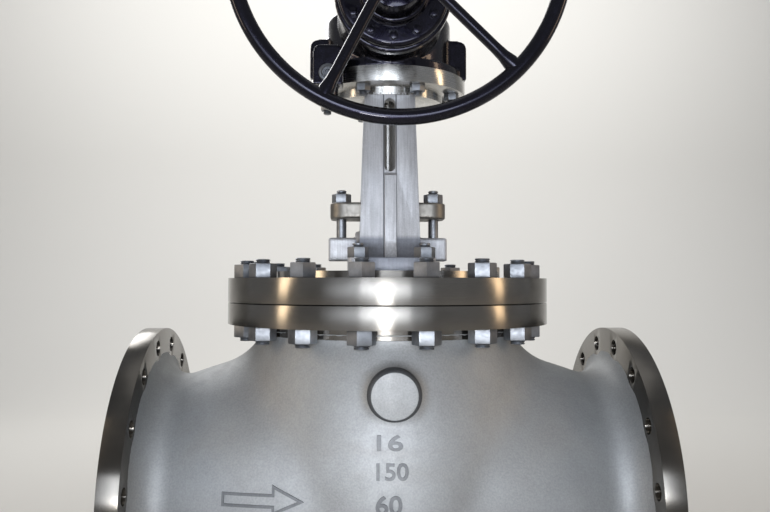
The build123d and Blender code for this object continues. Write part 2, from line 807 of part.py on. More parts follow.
with BuildPart() as shaft_nut:
    with BuildSketch(toward_wheel(input_shaft_end)):
        Circle(shaft_nut_r)
    extrude(amount=shaft_nut_length)
save(shaft_nut, "shaft_nut")

# Stem protector and its cap
with BuildPart() as stem_protector:
    with BuildSketch(level(gear_top_level)):
        Circle(protector_flange_r)
    extrude(amount=protector_flange_thickness)
    with BuildSketch(level(gear_top_level)):
        Circle(protector_r)
    extrude(amount=protector_length)
    with BuildSketch(level(gear_top_level)):
        Circle(protector_r - protector_wall)
    extrude(amount=protector_length, mode=Mode.SUBTRACT)
save(stem_protector, "stem_protector")

with BuildPart() as cap:
    with BuildSketch(level(gear_top_level + protector_length)):
        Circle(protector_r + protector_cap_lip)
    extrude(amount=protector_cap)
    chamfer(cap.faces().sort_by(Axis.Z)[-1].edges(), length=protector_cap_edge)
save(cap, "protector_cap")
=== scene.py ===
import bpy
import bmesh
import math
import random
from mathutils import Matrix, Vector
from mathutils.bvhtree import BVHTree


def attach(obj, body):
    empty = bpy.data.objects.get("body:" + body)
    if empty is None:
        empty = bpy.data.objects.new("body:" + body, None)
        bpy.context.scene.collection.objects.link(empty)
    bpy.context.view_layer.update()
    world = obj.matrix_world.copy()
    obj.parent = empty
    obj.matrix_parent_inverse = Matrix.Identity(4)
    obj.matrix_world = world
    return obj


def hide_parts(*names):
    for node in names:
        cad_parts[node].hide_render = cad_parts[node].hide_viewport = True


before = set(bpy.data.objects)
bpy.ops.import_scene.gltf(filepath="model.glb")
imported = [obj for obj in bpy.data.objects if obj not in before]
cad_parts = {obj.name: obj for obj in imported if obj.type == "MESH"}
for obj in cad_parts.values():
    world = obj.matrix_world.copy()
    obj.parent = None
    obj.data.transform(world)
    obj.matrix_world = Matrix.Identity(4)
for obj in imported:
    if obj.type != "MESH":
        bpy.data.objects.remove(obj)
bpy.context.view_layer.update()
print("frame loaded")

# Where things are. Sizes are in mm and levels are mm above the pipe axis, unless a note says metres.
pipeAxis = 0.320  # metres above the soles of the feet
wheelLevel = 864
bonnetStuds = {"count": 16, "circle": 530, "startDeg": 11.25}
operatorStuds = {"count": 8, "circle": 254, "startDeg": 22.5}
plugBoxX, plugBoxY = -109.5, -142


def facingFront(x, level):  # a place whose local z points at the viewer
    return Matrix.Translation((x / 1000, 0, pipeAxis + level / 1000)) @ Matrix.Rotation(math.radians(90), 4, "X")


upright = Matrix.Translation((0, 0, pipeAxis))
alongShaft = facingFront(0, wheelLevel)

# Photograph's camera, fitted to the flanges: metres and degrees
photoCamera = {
    "place": (-0.064, -1.5287, 0.7046),
    "yawDeg": 2.226,
    "pitchDeg": 1.927,
    "rollDeg": 0.067,
    "focalPx": 798.9,
    "frameWidthPx": 770,
    "sensorMm": 36.0,
    "clip": (0.05, 60.0),
}


def newObject(name, data):
    thing = bpy.data.objects.new(name, data)
    bpy.context.scene.collection.objects.link(thing)
    return thing


def addCamera(settings):
    yaw, pitch, roll = (math.radians(settings[k]) for k in ("yawDeg", "pitchDeg", "rollDeg"))
    ahead = Vector((math.sin(yaw) * math.cos(pitch), math.cos(yaw) * math.cos(pitch), math.sin(pitch)))
    level = Vector((math.cos(yaw), -math.sin(yaw), 0))
    top = level.cross(ahead)
    across = level * math.cos(roll) + top * math.sin(roll)
    up = top * math.cos(roll) - level * math.sin(roll)
    data = bpy.data.cameras.new("photoCamera")
    data.sensor_width = settings["sensorMm"]
    data.lens = settings["sensorMm"] * settings["focalPx"] / settings["frameWidthPx"]
    data.clip_start, data.clip_end = settings["clip"]
    camera = newObject("photoCamera", data)
    turn = Matrix((across, up, -ahead)).transposed().to_4x4()
    camera.matrix_world = Matrix.Translation(settings["place"]) @ turn
    bpy.context.scene.camera = camera


addCamera(photoCamera)
print("camera set")


# Materials. Patterns read Object coordinates in metres, so a noise scale of 500 is a 2 mm feature.
def hexColour(text):  # sRGB hex to linear
    parts = [int(text[i:i + 2], 16) / 255 for i in (0, 2, 4)]
    return [c / 12.92 if c <= 0.04045 else ((c + 0.055) / 1.055) ** 2.4 for c in parts] + [1.0]


def addNode(tree, kind, inputs=None, stops=None, **settings):
    node = tree.nodes.new("ShaderNode" + kind)
    for name, value in settings.items():
        setattr(node, name, value)
    for name, value in (inputs or {}).items():
        if isinstance(value, bpy.types.NodeSocket):
            tree.links.new(value, node.inputs[name])
        else:
            node.inputs[name].default_value = hexColour(value) if isinstance(value, str) else value
    for number, (position, shade) in enumerate(stops or []):
        elements = node.color_ramp.elements
        stop = elements[number] if number < len(elements) else elements.new(position)
        stop.position = position
        stop.color = hexColour(shade)
    return node


def startMaterial(name, **values):
    material = bpy.data.materials.new(name)
    material.use_nodes = True
    tree = material.node_tree
    shader = tree.nodes["Principled BSDF"]
    for key, value in values.items():
        shader.inputs[key.replace("_", " ")].default_value = value
    return material, tree, shader, addNode(tree, "TexCoord").outputs["Object"]


def groundFace(tree, look, place, toned, wavy):  # dressed with a grinder along z: long fine scores, with painted shade beside the rib and at the foot of the arms
    # Real scores are about 1 mm apart, drawn about 4 mm so that they show
    long = addNode(tree, "VectorMath", {0: place, 1: (1.0, 1.0, 0.03)}, operation="MULTIPLY")
    scores = addNode(tree, "TexNoise", {"Vector": long.outputs[0], "Scale": look["streakScale"], "Detail": 3.0})
    worn = addNode(tree, "MapRange", {0: scores.outputs[0], 1: 0.35, 2: 0.65, 3: look["streakShade"], 4: 1.0})
    toned = addNode(tree, "Mix", {0: 1.0, 6: toned.outputs[2], 7: worn.outputs[0]}, data_type="RGBA",
                    blend_type="MULTIPLY")
    split = addNode(tree, "SeparateXYZ", {0: place})
    aside = addNode(tree, "Math", {0: split.outputs["X"]}, operation="ABSOLUTE")
    above = addNode(tree, "Math", {0: split.outputs["Z"], 1: look["cornerFrom"]}, operation="GREATER_THAN")
    rib = addNode(tree, "Math", {0: aside.outputs[0], 1: look["cornerAt"]}, operation="LESS_THAN")
    rib = addNode(tree, "Math", {0: rib.outputs[0], 1: above.outputs[0]}, operation="MULTIPLY")
    # painted shade: a darker blue-grey band across the foot of the arms, kept off the rib
    arm = addNode(tree, "Math", {0: aside.outputs[0], 1: look["footShadeReach"]}, operation="LESS_THAN")
    arm = addNode(tree, "Math", {0: arm.outputs[0], 1: rib.outputs[0]}, operation="SUBTRACT")
    low = addNode(tree, "MapRange", {0: split.outputs["Z"], 1: look["footShadeTop"] - look["footShadeFade"],
                                     2: look["footShadeTop"] + look["footShadeFade"], 3: look["footShadeShare"], 4: 0.0})
    footShade = addNode(tree, "Math", {0: arm.outputs[0], 1: low.outputs[0]}, operation="MULTIPLY")
    toned = addNode(tree, "Mix", {0: footShade.outputs[0], 6: toned.outputs[2], 7: look["footShadeTone"]}, data_type="RGBA")
    near = addNode(tree, "Math", {0: aside.outputs[0], 1: look["cornerAt"], 2: look["cornerWidth"]},
                   operation="COMPARE")  # painted shade in the corners beside the rib
    corner = addNode(tree, "Math", {0: near.outputs[0], 1: above.outputs[0]}, operation="MULTIPLY")
    toned = addNode(tree, "Mix", {0: corner.outputs[0], 6: toned.outputs[2], 7: look["cornerTone"]},
                    data_type="RGBA")
    wavy = addNode(tree, "Bump", {"Height": scores.outputs[0], "Normal": wavy.outputs[0],
                                  "Strength": look["streakBump"], "Distance": 0.001})
    return toned, wavy


def blastedCasting(name, look):  # sand cast stainless, bead blasted: matt, cloudy, finely pitted
    material, tree, shader, place = startMaterial(name, Metallic=look["metallic"])
    clouds = addNode(tree, "TexNoise", {"Vector": place, "Scale": look["cloudScale"], "Detail": 5.0,
                                        "Roughness": 0.55})
    stain = addNode(tree, "TexNoise", {"Vector": place, "Scale": look["stainScale"], "Detail": 6.0,
                                       "Roughness": 0.6, "Distortion": 0.8})
    base = addNode(tree, "ValToRGB", {0: clouds.outputs[0]}, look["tones"])
    stainMask = addNode(tree, "MapRange", {0: stain.outputs[0], 1: 0.52, 2: 0.72, 3: 0.0, 4: look["stainShare"]})
    tinted = addNode(tree, "Mix", {0: stainMask.outputs[0], 6: base.outputs[0], 7: look["stain"]},
                     data_type="RGBA")
    # Real blast pits are under 1 mm, drawn about 3 mm so that they show
    grain = addNode(tree, "TexNoise", {"Vector": place, "Scale": look["grainScale"], "Detail": 2.0})
    speckle = addNode(tree, "MapRange", {0: grain.outputs[0], 1: 0.3, 2: 0.7, 3: look["speckle"], 4: 1.0})
    toned = addNode(tree, "Mix", {0: 1.0, 6: tinted.outputs[2], 7: speckle.outputs[0]}, data_type="RGBA",
                    blend_type="MULTIPLY")
    tree.links.new(toned.outputs[2], shader.inputs["Base Color"])
    mottle = addNode(tree, "TexNoise", {"Vector": place, "Scale": look["mottleScale"], "Detail": 3.0})
    rough = addNode(tree, "MapRange", {0: mottle.outputs[0], 1: 0.3, 2: 0.7, 3: look["rough"][0],
                                       4: look["rough"][1]})
    tree.links.new(rough.outputs[0], shader.inputs["Roughness"])
    wavy = addNode(tree, "Bump", {"Height": mottle.outputs[0], "Strength": look["waveBump"], "Distance": 0.002})
    if "streakScale" in look:
        toned, wavy = groundFace(tree, look, place, toned, wavy)
        tree.links.new(toned.outputs[2], shader.inputs["Base Color"])
    fine = addNode(tree, "Bump", {"Height": grain.outputs[0], "Normal": wavy.outputs[0],
                                  "Strength": look["grainBump"], "Distance": 0.0006})
    tree.links.new(fine.outputs[0], shader.inputs["Normal"])
    return material


def turnedSteel(name, look, axis, centre=(0, 0, 0)):  # lathe turned: rings round one axis, bright streaks across
    material, tree, shader, place = startMaterial(name, Metallic=1.0, Anisotropic=look["anisotropic"],
                                                  Anisotropic_Rotation=0.25)
    local = addNode(tree, "VectorMath", {0: place, 1: centre}, operation="SUBTRACT")
    split = addNode(tree, "SeparateXYZ", {0: local.outputs[0]})
    across = [0.0 if letter == axis else 1.0 for letter in "XYZ"]
    flat = addNode(tree, "VectorMath", {0: local.outputs[0], 1: across}, operation="MULTIPLY")
    distance = addNode(tree, "VectorMath", {0: flat.outputs[0]}, operation="LENGTH")
    along = addNode(tree, "Math", {0: split.outputs[axis], 1: distance.outputs["Value"]}, operation="ADD")
    rings = addNode(tree, "TexNoise", {"W": along.outputs[0], "Scale": look["ringScale"], "Detail": 3.0},
                    noise_dimensions="1D")  # real tool marks are 0.2 mm apart, drawn about 1 mm so that they show
    haze = addNode(tree, "TexNoise", {"Vector": place, "Scale": look["hazeScale"], "Detail": 4.0})
    shade = addNode(tree, "ValToRGB", {0: haze.outputs[0]}, look["tones"])
    lined = addNode(tree, "MapRange", {0: rings.outputs[0], 1: 0.35, 2: 0.65, 3: look["lineShade"], 4: 1.0})
    toned = addNode(tree, "Mix", {0: 1.0, 6: shade.outputs[0], 7: lined.outputs[0]}, data_type="RGBA",
                    blend_type="MULTIPLY")
    tree.links.new(toned.outputs[2], shader.inputs["Base Color"])
    both = addNode(tree, "Math", {0: rings.outputs[0], 1: haze.outputs[0]}, operation="ADD")
    rough = addNode(tree, "MapRange", {0: both.outputs[0], 1: 0.6, 2: 1.4, 3: look["rough"][0],
                                       4: look["rough"][1]})
    tree.links.new(rough.outputs[0], shader.inputs["Roughness"])
    marks = addNode(tree, "Bump", {"Height": rings.outputs[0], "Strength": look["bump"], "Distance": 0.0004})
    tree.links.new(marks.outputs[0], shader.inputs["Normal"])
    tangent = addNode(tree, "Tangent", direction_type="RADIAL", axis=axis)
    tree.links.new(tangent.outputs[0], shader.inputs["Tangent"])
    return material


def glossEnamel(name, look):  # stove enamel brushed over a casting: deep gloss with a slow ripple
    material, tree, shader, place = startMaterial(
        name, Metallic=0.0, Coat_Weight=0.45, Coat_Roughness=look["coatRough"], Specular_IOR_Level=0.3,
        Specular_Tint=hexColour(look["sheen"]))
    clouds = addNode(tree, "TexNoise", {"Vector": place, "Scale": look["cloudScale"], "Detail": 4.0})
    base = addNode(tree, "ValToRGB", {0: clouds.outputs[0]}, look["tones"])
    tree.links.new(base.outputs[0], shader.inputs["Base Color"])
    dust = addNode(tree, "TexNoise", {"Vector": place, "Scale": look["dustScale"], "Detail": 5.0,
                                      "Roughness": 0.7})
    rough = addNode(tree, "MapRange", {0: dust.outputs[0], 1: 0.4, 2: 0.75, 3: look["rough"][0],
                                       4: look["rough"][1]})
    tree.links.new(rough.outputs[0], shader.inputs["Roughness"])
    ripple = addNode(tree, "TexNoise", {"Vector": place, "Scale": look["rippleScale"], "Detail": 1.5})
    bump = addNode(tree, "Bump", {"Height": ripple.outputs[0], "Strength": look["ripple"], "Distance": 0.001})
    tree.links.new(bump.outputs[0], shader.inputs["Normal"])
    tree.links.new(bump.outputs[0], shader.inputs["Coat Normal"])
    return material


def plainMetal(name, look):  # drawn or forged bright steel with handling marks
    material, tree, shader, place = startMaterial(name, Metallic=look["metallic"])
    cloud = addNode(tree, "TexNoise", {"Vector": place, "Scale": look["cloudScale"], "Detail": 4.0})
    base = addNode(tree, "ValToRGB", {0: cloud.outputs[0]}, look["tones"])
    tree.links.new(base.outputs[0], shader.inputs["Base Color"])
    scuff = addNode(tree, "TexNoise", {"Vector": place, "Scale": look["scuffScale"], "Detail": 3.0})
    rough = addNode(tree, "MapRange", {0: scuff.outputs[0], 1: 0.3, 2: 0.7, 3: look["rough"][0],
                                       4: look["rough"][1]})
    tree.links.new(rough.outputs[0], shader.inputs["Roughness"])
    bump = addNode(tree, "Bump", {"Height": scuff.outputs[0], "Strength": look["bump"], "Distance": 0.0004})
    tree.links.new(bump.outputs[0], shader.inputs["Normal"])
    return material


# Looks of the finishes: scales are per metre, tones run from the dark to the light end of the clouds
bodyLook = {
    "metallic": 0.65, "cloudScale": 9.0, "stainScale": 3.4, "stainShare": 0.3, "stain": "9A938A",
    "mottleScale": 60.0, "grainScale": 330.0, "speckle": 0.84, "rough": (0.57, 0.65), "waveBump": 0.05,
    "grainBump": 0.45, "tones": [(0.30, "9FA0A1"), (0.50, "A5A7A8"), (0.72, "ABADAF")],
}
# painted shade: the body casting drawn darker for the raised marks
raisedMarkShadeLook = {**bodyLook, "tones": [(0.30, "6A6C6F"), (0.50, "76787B"), (0.72, "828487")], "stainShare": 0.2}
# painted shade: darker still, for the rim round the boss
bossRimShadeLook = {**raisedMarkShadeLook, "tones": [(0.30, "4E5053"), (0.50, "585A5D"), (0.72, "626467")]}
yokeLook = {  # cornerAt and footShadeReach are metres from the middle, cornerFrom and footShadeTop metres above the floor
    "metallic": 0.55, "cloudScale": 14.0, "stainScale": 6.0, "stainShare": 0.25, "stain": "9E9C96",
    "mottleScale": 90.0, "grainScale": 420.0, "speckle": 0.88, "rough": (0.46, 0.58), "waveBump": 0.08,
    "grainBump": 0.4, "tones": [(0.30, "C0C1C5"), (0.52, "C9CACE"), (0.74, "D2D3D7")],
    "streakScale": 260.0, "streakShade": 0.8, "streakBump": 0.3,
    # the corner tone below is painted shade in the corners beside the rib
    "cornerAt": 0.0112, "cornerWidth": 0.0011, "cornerFrom": pipeAxis + 0.429, "cornerTone": "5E6064",
    # the foot tone below is painted shade at the foot of the arms
    "footShadeTop": pipeAxis + 0.466, "footShadeFade": 0.004, "footShadeShare": 0.7, "footShadeReach": 0.062, "footShadeTone": "555B68",
}
rimLook = {
    "anisotropic": 0.95, "ringScale": 900.0, "hazeScale": 9.0, "lineShade": 0.93, "rough": (0.21, 0.28),
    "bump": 0.03, "tones": [(0.3, "807C76"), (0.7, "9E9A94")],
}
# painted dark reflection: a darker copy of the turned steel for the pipe flanges
pipeDarkReflectionLook = {**rimLook, "tones": [(0.3, "5C5954"), (0.7, "7B7771")]}
polishLook = {
    "anisotropic": 0.95, "ringScale": 1100.0, "hazeScale": 16.0, "lineShade": 0.95, "rough": (0.24, 0.3),
    "bump": 0.02, "tones": [(0.3, "BDBCB8"), (0.7, "D6D5D2")],
}
enamelLook = {
    "coatRough": 0.07, "sheen": "C4BEF4", "cloudScale": 14.0, "dustScale": 60.0, "rough": (0.2, 0.38),
    "rippleScale": 130.0, "ripple": 0.08, "tones": [(0.35, "050506"), (0.7, "0B0B0D")],
}
nutLook = {
    "metallic": 1.0, "cloudScale": 40.0, "scuffScale": 260.0, "rough": (0.42, 0.56), "bump": 0.15,
    "tones": [(0.3, "7C7F84"), (0.7, "9C9FA4")],
}
shaftLook = {
    "anisotropic": 0.6, "ringScale": 800.0, "hazeScale": 24.0, "lineShade": 0.92, "rough": (0.2, 0.28),
    "bump": 0.008, "tones": [(0.3, "9B9A98"), (0.7, "B7B6B3")],
}
millLook = {
    "metallic": 1.0, "cloudScale": 30.0, "scuffScale": 190.0, "rough": (0.42, 0.54), "bump": 0.08,
    "tones": [(0.3, "7F7C77"), (0.7, "98958F")],
}
plugLook = {
    "metallic": 0.9, "cloudScale": 60.0, "scuffScale": 300.0, "rough": (0.4, 0.55), "bump": 0.2,
    "tones": [(0.3, "62656A"), (0.7, "84878C")],
}
gasketLook = {
    "metallic": 0.0, "cloudScale": 80.0, "scuffScale": 500.0, "rough": (0.6, 0.8), "bump": 0.2,
    "tones": [(0.3, "1E1F20"), (0.7, "2E2F31")],
}

# Finishes, each with what it gives the eye
bodyFinish = blastedCasting("beadBlastedCasting", bodyLook)  # matt grey that melts the lamps into one soft light
raisedMarkShadeFinish = blastedCasting("castNumberPaintedShade", raisedMarkShadeLook)  # painted shade: the raised numbers and arrow drawn darker all over
bossRimShadeFinish = blastedCasting("castBossRimPaintedShade", bossRimShadeLook)  # painted shade: dark ring round the boss
yokeFinish = blastedCasting("blastedYokeCasting", yokeLook)  # lightest casting, with scores that run up the arms
bonnetFinish = turnedSteel("turnedStainlessUpright", rimLook, "Z")  # dark steel with one hard upright light
flangeFinish = turnedSteel("turnedStainlessPipeDarkReflection", pipeDarkReflectionLook, "X", (0, 0, pipeAxis))  # painted dark reflection: the same turned steel drawn darker, which frames the body
polishFinish = turnedSteel("polishedYokeTop", polishLook, "Z")  # bright ring under the black gear case
enamelFinish = glossEnamel("blackStoveEnamel", enamelLook)  # black that shows its form by thin lilac lights
nutFinish = plainMetal("brightHexBolting", nutLook)  # one light flat and one dark flat on every nut
shaftFinish = turnedSteel("groundStemSteel", shaftLook, "Z")  # narrow light in the slot of the yoke
inputFinish = turnedSteel("groundInputSteel", shaftLook, "Y", (0, 0, pipeAxis + wheelLevel / 1000))  # same, lying
millFinish = plainMetal("milledGlandSteel", millLook)  # warm dull grey beside the cool yoke
plugFinish = plainMetal("blackenedPlugSteel", plugLook)  # grey eye on the black case
gasketFinish = plainMetal("graphiteGasket", gasketLook)  # dull black line between the flanges
print("materials made")


# Shaping
def turned(profile, place, steps=128):  # closed outline of (radius, height) in mm, spun round local z
    bm = bmesh.new()
    rim = [bm.verts.new((r / 1000, 0, z / 1000)) for r, z in profile]
    edges = [bm.edges.new(pair) for pair in zip(rim, rim[1:] + rim[:1])]
    bmesh.ops.spin(bm, geom=rim + edges, cent=(0, 0, 0), axis=(0, 0, 1), dvec=(0, 0, 0), angle=2 * math.pi,
                   steps=steps, use_merge=True)
    bmesh.ops.remove_doubles(bm, verts=bm.verts, dist=1e-6)
    bmesh.ops.recalc_face_normals(bm, faces=bm.faces)
    bmesh.ops.transform(bm, matrix=place, verts=bm.verts)
    return bm


def toMesh(bm, name):
    mesh = bpy.data.meshes.new(name)
    bm.to_mesh(mesh)
    bm.free()
    return mesh


def stamp(bm, mesh, place):  # adds a copy of mesh at a place
    start = len(bm.verts)
    bm.from_mesh(mesh)
    bm.verts.ensure_lookup_table()
    bmesh.ops.transform(bm, matrix=place, verts=bm.verts[start:])


def evaluated(piece):  # the piece's mesh with its modifiers applied
    bpy.context.view_layer.update()
    return bpy.data.meshes.new_from_object(piece.evaluated_get(bpy.context.evaluated_depsgraph_get()))


def drillHoles(piece, holes, place):  # holes on a circle, along local z
    bm = bmesh.new()
    reach, r = holes["circle"] / 2000, holes["d"] / 2000
    low, high = holes["span"]
    for n in range(holes["count"]):
        angle = math.radians(holes["startDeg"] + 360 * n / holes["count"])
        spot = Matrix.Translation((reach * math.cos(angle), reach * math.sin(angle), (low + high) / 2000))
        bmesh.ops.create_cone(bm, cap_ends=True, cap_tris=False, segments=32, radius1=r, radius2=r,
                              depth=(high - low) / 1000, matrix=place @ spot)
    cutter = newObject("cutter", toMesh(bm, "cutter"))
    cut = piece.modifiers.new("holes", "BOOLEAN")
    cut.operation = "DIFFERENCE"
    cut.solver = "EXACT"
    cut.object = cutter
    piece.data = evaluated(piece)
    piece.modifiers.clear()
    bpy.data.objects.remove(cutter)


def remeshed(bm, voxelMm, smoothTimes, keep=()):  # one soft skin round overlapping solids, then cut off at planes
    source = newObject("source", toMesh(bm, "source"))
    skin = source.modifiers.new("skin", "REMESH")
    skin.mode = "VOXEL"
    skin.voxel_size = voxelMm / 1000
    soft = bmesh.new()
    soft.from_mesh(evaluated(source))
    bpy.data.objects.remove(source)
    for _ in range(smoothTimes):
        bmesh.ops.smooth_vert(soft, verts=soft.verts, factor=0.5, use_axis_x=True, use_axis_y=True, use_axis_z=True)
    for spot, outward in keep:
        bmesh.ops.bisect_plane(soft, geom=soft.verts[:] + soft.edges[:] + soft.faces[:], dist=1e-7,
                               plane_co=spot, plane_no=outward, clear_outer=True)
    return soft


def cadCopy(*nodes):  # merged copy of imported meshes, because theirs are loose triangles
    bm = bmesh.new()
    for node in nodes:
        bm.from_mesh(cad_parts[node].data)
    bmesh.ops.remove_doubles(bm, verts=bm.verts, dist=1e-5)
    return bm


def addPiece(name, bm, body, material, nodes=(), bevelMm=0.0, creaseDeg=32, holes=None, place=upright):
    piece = newObject(name, toMesh(bm, name))
    if holes:
        drillHoles(piece, holes, place)
    if bevelMm:
        edge = piece.modifiers.new("edge", "BEVEL")
        edge.width = bevelMm / 1000
        edge.segments = 2
        edge.limit_method = "ANGLE"
        edge.angle_limit = math.radians(creaseDeg)
        piece.data = evaluated(piece)
        piece.modifiers.clear()
    bm = bmesh.new()
    bm.from_mesh(piece.data)
    for face in bm.faces:
        face.smooth = True
    for edge in bm.edges:
        edge.smooth = len(edge.link_faces) == 2 and edge.calc_face_angle() < math.radians(creaseDeg)
    bm.to_mesh(piece.data)
    bm.free()
    piece.data.name = name
    piece.data.materials.clear()
    piece.data.materials.append(material)
    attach(piece, body)
    if nodes:
        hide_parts(*nodes)
    return piece


threadDepth = 0.6  # share of the pitch
tipChamfer = 1.5


def nutMesh(fastener):  # hexagon nut with chamfered faces, its stud's threaded end, and the stud below
    bm = bmesh.new()
    corner = fastener["flats"] / math.sqrt(3) / 1000
    height = fastener["height"] / 1000
    bmesh.ops.create_cone(bm, cap_ends=True, cap_tris=False, segments=6, radius1=corner, radius2=corner, depth=height,
                          matrix=Matrix.Translation((0, 0, height / 2)) @ Matrix.Rotation(math.radians(30), 4, "Z"))
    flatEdges = [e for e in bm.edges if abs(e.verts[0].co.z - e.verts[1].co.z) < 1e-6]
    bmesh.ops.bevel(bm, geom=flatEdges, offset=fastener["chamfer"] / 1000, offset_type="OFFSET", affect="EDGES",
                    segments=2, profile=0.5, material=-1)
    if fastener["stud"]:
        r, tip = fastener["stud"] / 2, fastener["height"] + fastener["proud"]
        profile = [(0, fastener["reach"]), (r, fastener["reach"]), (r, fastener["height"] - 1)]
        z = fastener["height"] - 1
        while z + fastener["pitch"] < tip - 1:
            profile += [(r, z), (r - threadDepth * fastener["pitch"], z + fastener["pitch"] / 2)]
            z += fastener["pitch"]
        profile += [(r, z), (r, tip - tipChamfer), (r - tipChamfer, tip), (0, tip)]
        stamp(bm, toMesh(turned(profile, Matrix(), 24), "studEnd"), Matrix())
    return toMesh(bm, "nut")


def ringOfNuts(fastener, studs, level, down=False, turns=None, place=upright):  # turns as the fitter left them
    bm = bmesh.new()
    mesh = nutMesh(fastener)
    reach = studs["circle"] / 2000
    tilt = Matrix.Rotation(math.pi, 4, "X") if down else Matrix()
    for n in range(studs["count"]):
        angle = math.radians(studs["startDeg"] + 360 * n / studs["count"])
        spot = Matrix.Translation((reach * math.cos(angle), reach * math.sin(angle), level / 1000))
        turn = (turns or {}).get(n, rng.uniform(0, 60))
        stamp(bm, mesh, place @ spot @ Matrix.Rotation(math.radians(turn), 4, "Z") @ tilt)
    return bm


rng = random.Random(16)
print("shaping ready")

# Body casting, with its feet, partition and boss in one skin
casting = {"voxelMm": 7.4, "smoothTimes": 3, "flangeX": 424.0, "flangeLevel": 300.0}


def addBody(size):
    soft = remeshed(cadCopy("body"), size["voxelMm"], size["smoothTimes"], [
        ((size["flangeX"] / 1000, 0, 0), (1, 0, 0)),
        ((-size["flangeX"] / 1000, 0, 0), (-1, 0, 0)),
        ((0, 0, pipeAxis + size["flangeLevel"] / 1000), (0, 0, 1)),
    ])
    return addPiece("bodyCasting", soft, "valve", bodyFinish, ["body"], creaseDeg=60)


bodyCasting = addBody(casting)
print("body cast", len(bodyCasting.data.polygons))

endFlange = {
    "profile": [(193.7, 420.1), (298.5, 420.1), (298.5, 455), (235, 455), (235, 457), (193.7, 457)],
    "holes": {"count": 16, "circle": 539.8, "startDeg": 11.25, "d": 28.6, "span": (410, 470)},
    "bevelMm": 1.4,
}
neckRing = {  # body's flange under the bonnet, with the turned band below it
    "profile": [(215, 290.5), (240.2, 290.5), (241, 291.5), (241, 310.2), (299, 310.2), (299, 348), (215, 348)],
    "holes": {**bonnetStuds, "d": 28.6, "span": (300, 360)},
    "bevelMm": 1.2,
}
bonnetCover = {
    "profile": [(28.2, 367), (200, 350), (299, 350), (299, 393), (210, 393), (210, 405.2), (60, 405.2),
                (28.2, 405.2)],
    "holes": {**bonnetStuds, "d": 28.6, "span": (340, 400)},
    "bevelMm": 1.4,
}

castBoss = {  # round pad on the front of the neck, with a rounded rim painted darker as shade
    "level": 208,
    "face": [(0, 280), (37, 280), (37, 283.9), (34.4, 284.5), (0, 284.5)],
    "rim": [(36.5, 250), (43.4, 250), (43.4, 275), (42.7, 278.6), (40.6, 281.6), (37.5, 283.8), (36.5, 284)],
}
bossPlace = facingFront(0, castBoss["level"])
addPiece("castBoss", turned(castBoss["face"], bossPlace, 96), "valve", bodyFinish, creaseDeg=28)
addPiece("castBossRim", turned(castBoss["rim"], bossPlace, 96), "valve", bossRimShadeFinish, creaseDeg=28)

for name, side in (("inletFlange", -1), ("outletFlange", 1)):
    outward = upright @ Matrix.Rotation(math.radians(90 * side), 4, "Y")
    addPiece(name, turned(endFlange["profile"], outward), "valve", flangeFinish, ["body"],
             endFlange["bevelMm"], holes=endFlange["holes"], place=outward)
addPiece("bodyTopFlange", turned(neckRing["profile"], upright), "valve", bonnetFinish, ["body"],
         neckRing["bevelMm"], holes=neckRing["holes"])
addPiece("bonnetPlate", turned(bonnetCover["profile"], upright), "valve", bonnetFinish, ["bonnet"],
         bonnetCover["bevelMm"], holes=bonnetCover["holes"])
print("flanges turned")

bonnetTower = {"voxelMm": 2.6, "smoothTimes": 3, "floorLevel": 402.0, "below": 4.0}


def addTower(size):
    bm = cadCopy("bonnet")
    cutLevel = size["floorLevel"] - size["below"]
    bmesh.ops.bisect_plane(bm, geom=bm.verts[:] + bm.edges[:] + bm.faces[:], dist=1e-7, clear_outer=True,
                           plane_co=(0, 0, pipeAxis + cutLevel / 1000), plane_no=(0, 0, -1))
    bmesh.ops.holes_fill(bm, edges=[e for e in bm.edges if e.is_boundary], sides=0)
    soft = remeshed(bm, size["voxelMm"], size["smoothTimes"],
                    [((0, 0, pipeAxis + size["floorLevel"] / 1000), (0, 0, -1))])
    return addPiece("glandTower", soft, "valve", yokeFinish, ["bonnet"], creaseDeg=60)


addTower(bonnetTower)
print("gland tower cast")

# Yoke: cast arms and feet, with a polished flange on top
yokeArms = {"topLevel": 727.0, "bevelMm": 1.6}
yokeTop = {
    "profile": [(45, 723.7), (105, 723.7), (105, 738), (148, 738), (148, 766), (45, 766)],
    "holes": {**operatorStuds, "d": 17.5, "span": (730, 770)},
    "bevelMm": 1.0,
}
arms = cadCopy("yoke")  # ground along the arms, so its edges stay crisp
bmesh.ops.bisect_plane(arms, geom=arms.verts[:] + arms.edges[:] + arms.faces[:], dist=1e-7, clear_outer=True,
                       plane_co=(0, 0, pipeAxis + yokeArms["topLevel"] / 1000), plane_no=(0, 0, 1))
addPiece("yokeArms", arms, "valve", yokeFinish, ["yoke"], yokeArms["bevelMm"])
addPiece("yokeTopFlange", turned(yokeTop["profile"], upright), "valve", polishFinish, ["yoke"],
         yokeTop["bevelMm"], holes=yokeTop["holes"])
print("yoke made")

# Gland flange, follower and the screw
glandBar = {"voxelMm": 2.2, "smoothTimes": 3}
addPiece("glandBar", remeshed(cadCopy("gland_flange"), glandBar["voxelMm"], glandBar["smoothTimes"]), "valve",
         millFinish, ["gland_flange"], creaseDeg=60)

screw = {
    "bottom": 38.3, "top": 1050, "r": 28, "threadFrom": 700, "pitch": 9.0, "chamfer": 3,
    "thread": [(24.6, 0.12), (24.6, 0.5), (28, 0.62), (28, 1)],  # radius in mm, and height as a share of the pitch
}


def addScrew(size):
    profile = [(0, size["bottom"]), (size["r"], size["bottom"]), (size["r"], size["threadFrom"])]
    z, pitch = size["threadFrom"], size["pitch"]
    while z + pitch < size["top"] - 2 * size["chamfer"]:
        profile += [(r, z + share * pitch) for r, share in size["thread"]]
        z += pitch
    profile += [(size["r"], size["top"] - size["chamfer"]), (size["r"] - size["chamfer"], size["top"]),
                (0, size["top"])]
    return addPiece("liftingScrew", turned(profile, upright, 64), "stem", shaftFinish, ["stem"])


addScrew(screw)
print("screw cut")

